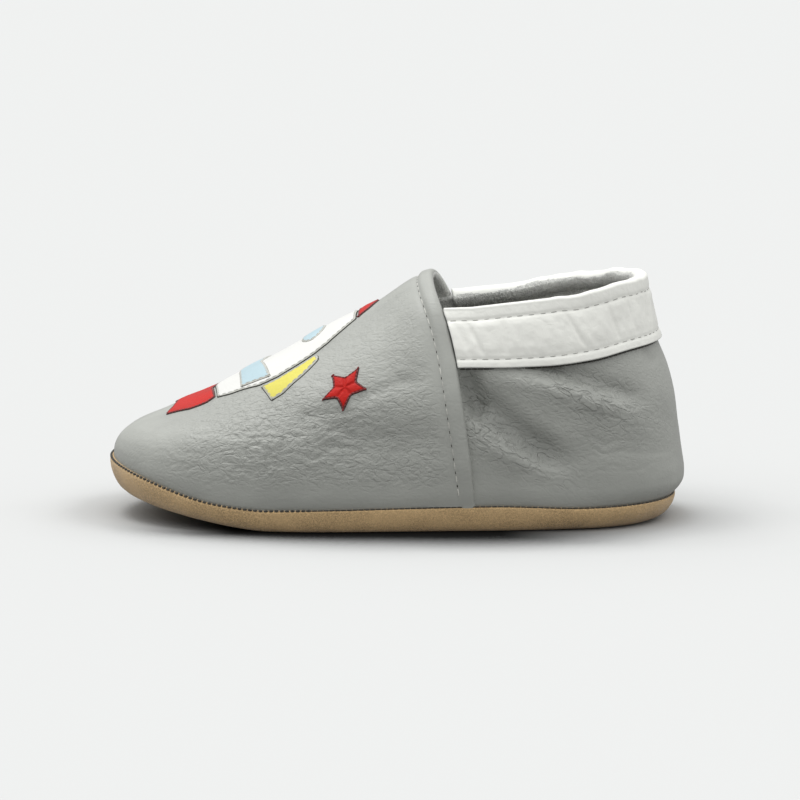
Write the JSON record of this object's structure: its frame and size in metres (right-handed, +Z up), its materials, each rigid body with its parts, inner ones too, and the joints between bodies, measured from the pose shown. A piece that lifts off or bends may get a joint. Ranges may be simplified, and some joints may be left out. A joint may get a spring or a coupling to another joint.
{
  "type": "baby slipper",
  "caption": "Soft leather baby slipper with an elastic cuff, a curled suede sole and a sewn-on rocket and stars on the vamp.",
  "frame": {"origin": "centre of the bounding box's underside, on the floor under the sole", "axes": "toe towards -X, heel towards +X, the outer side of this left shoe towards -Y, +Z up"},
  "size_m": [0.1262, 0.0622, 0.0542],
  "materials": {
    "leather_grey": "soft grained, satin",
    "leather_white": "smooth, satin",
    "leather_red": "smooth, satin",
    "leather_blue": "smooth, satin",
    "leather_yellow": "smooth, satin",
    "suede_tan": "suede, matt",
    "pad_grey": "napped, matt",
    "thread": "twisted sewing thread"
  },
  "bodies": {
    "root": {"outsole": "suede_tan", "insole": "pad_grey", "upper": "leather_grey", "collar_band": "leather_white", "rocket_body": "leather_white", "rocket_nose": "leather_red", "rocket_flame": "leather_red", "rocket_band": "leather_blue", "rocket_window": "leather_blue", "rocket_fin_outer": "leather_yellow", "rocket_fin_inner": "leather_yellow", "star_outer": "leather_red", "star_inner": "leather_red"}
  },
  "joints": []
}
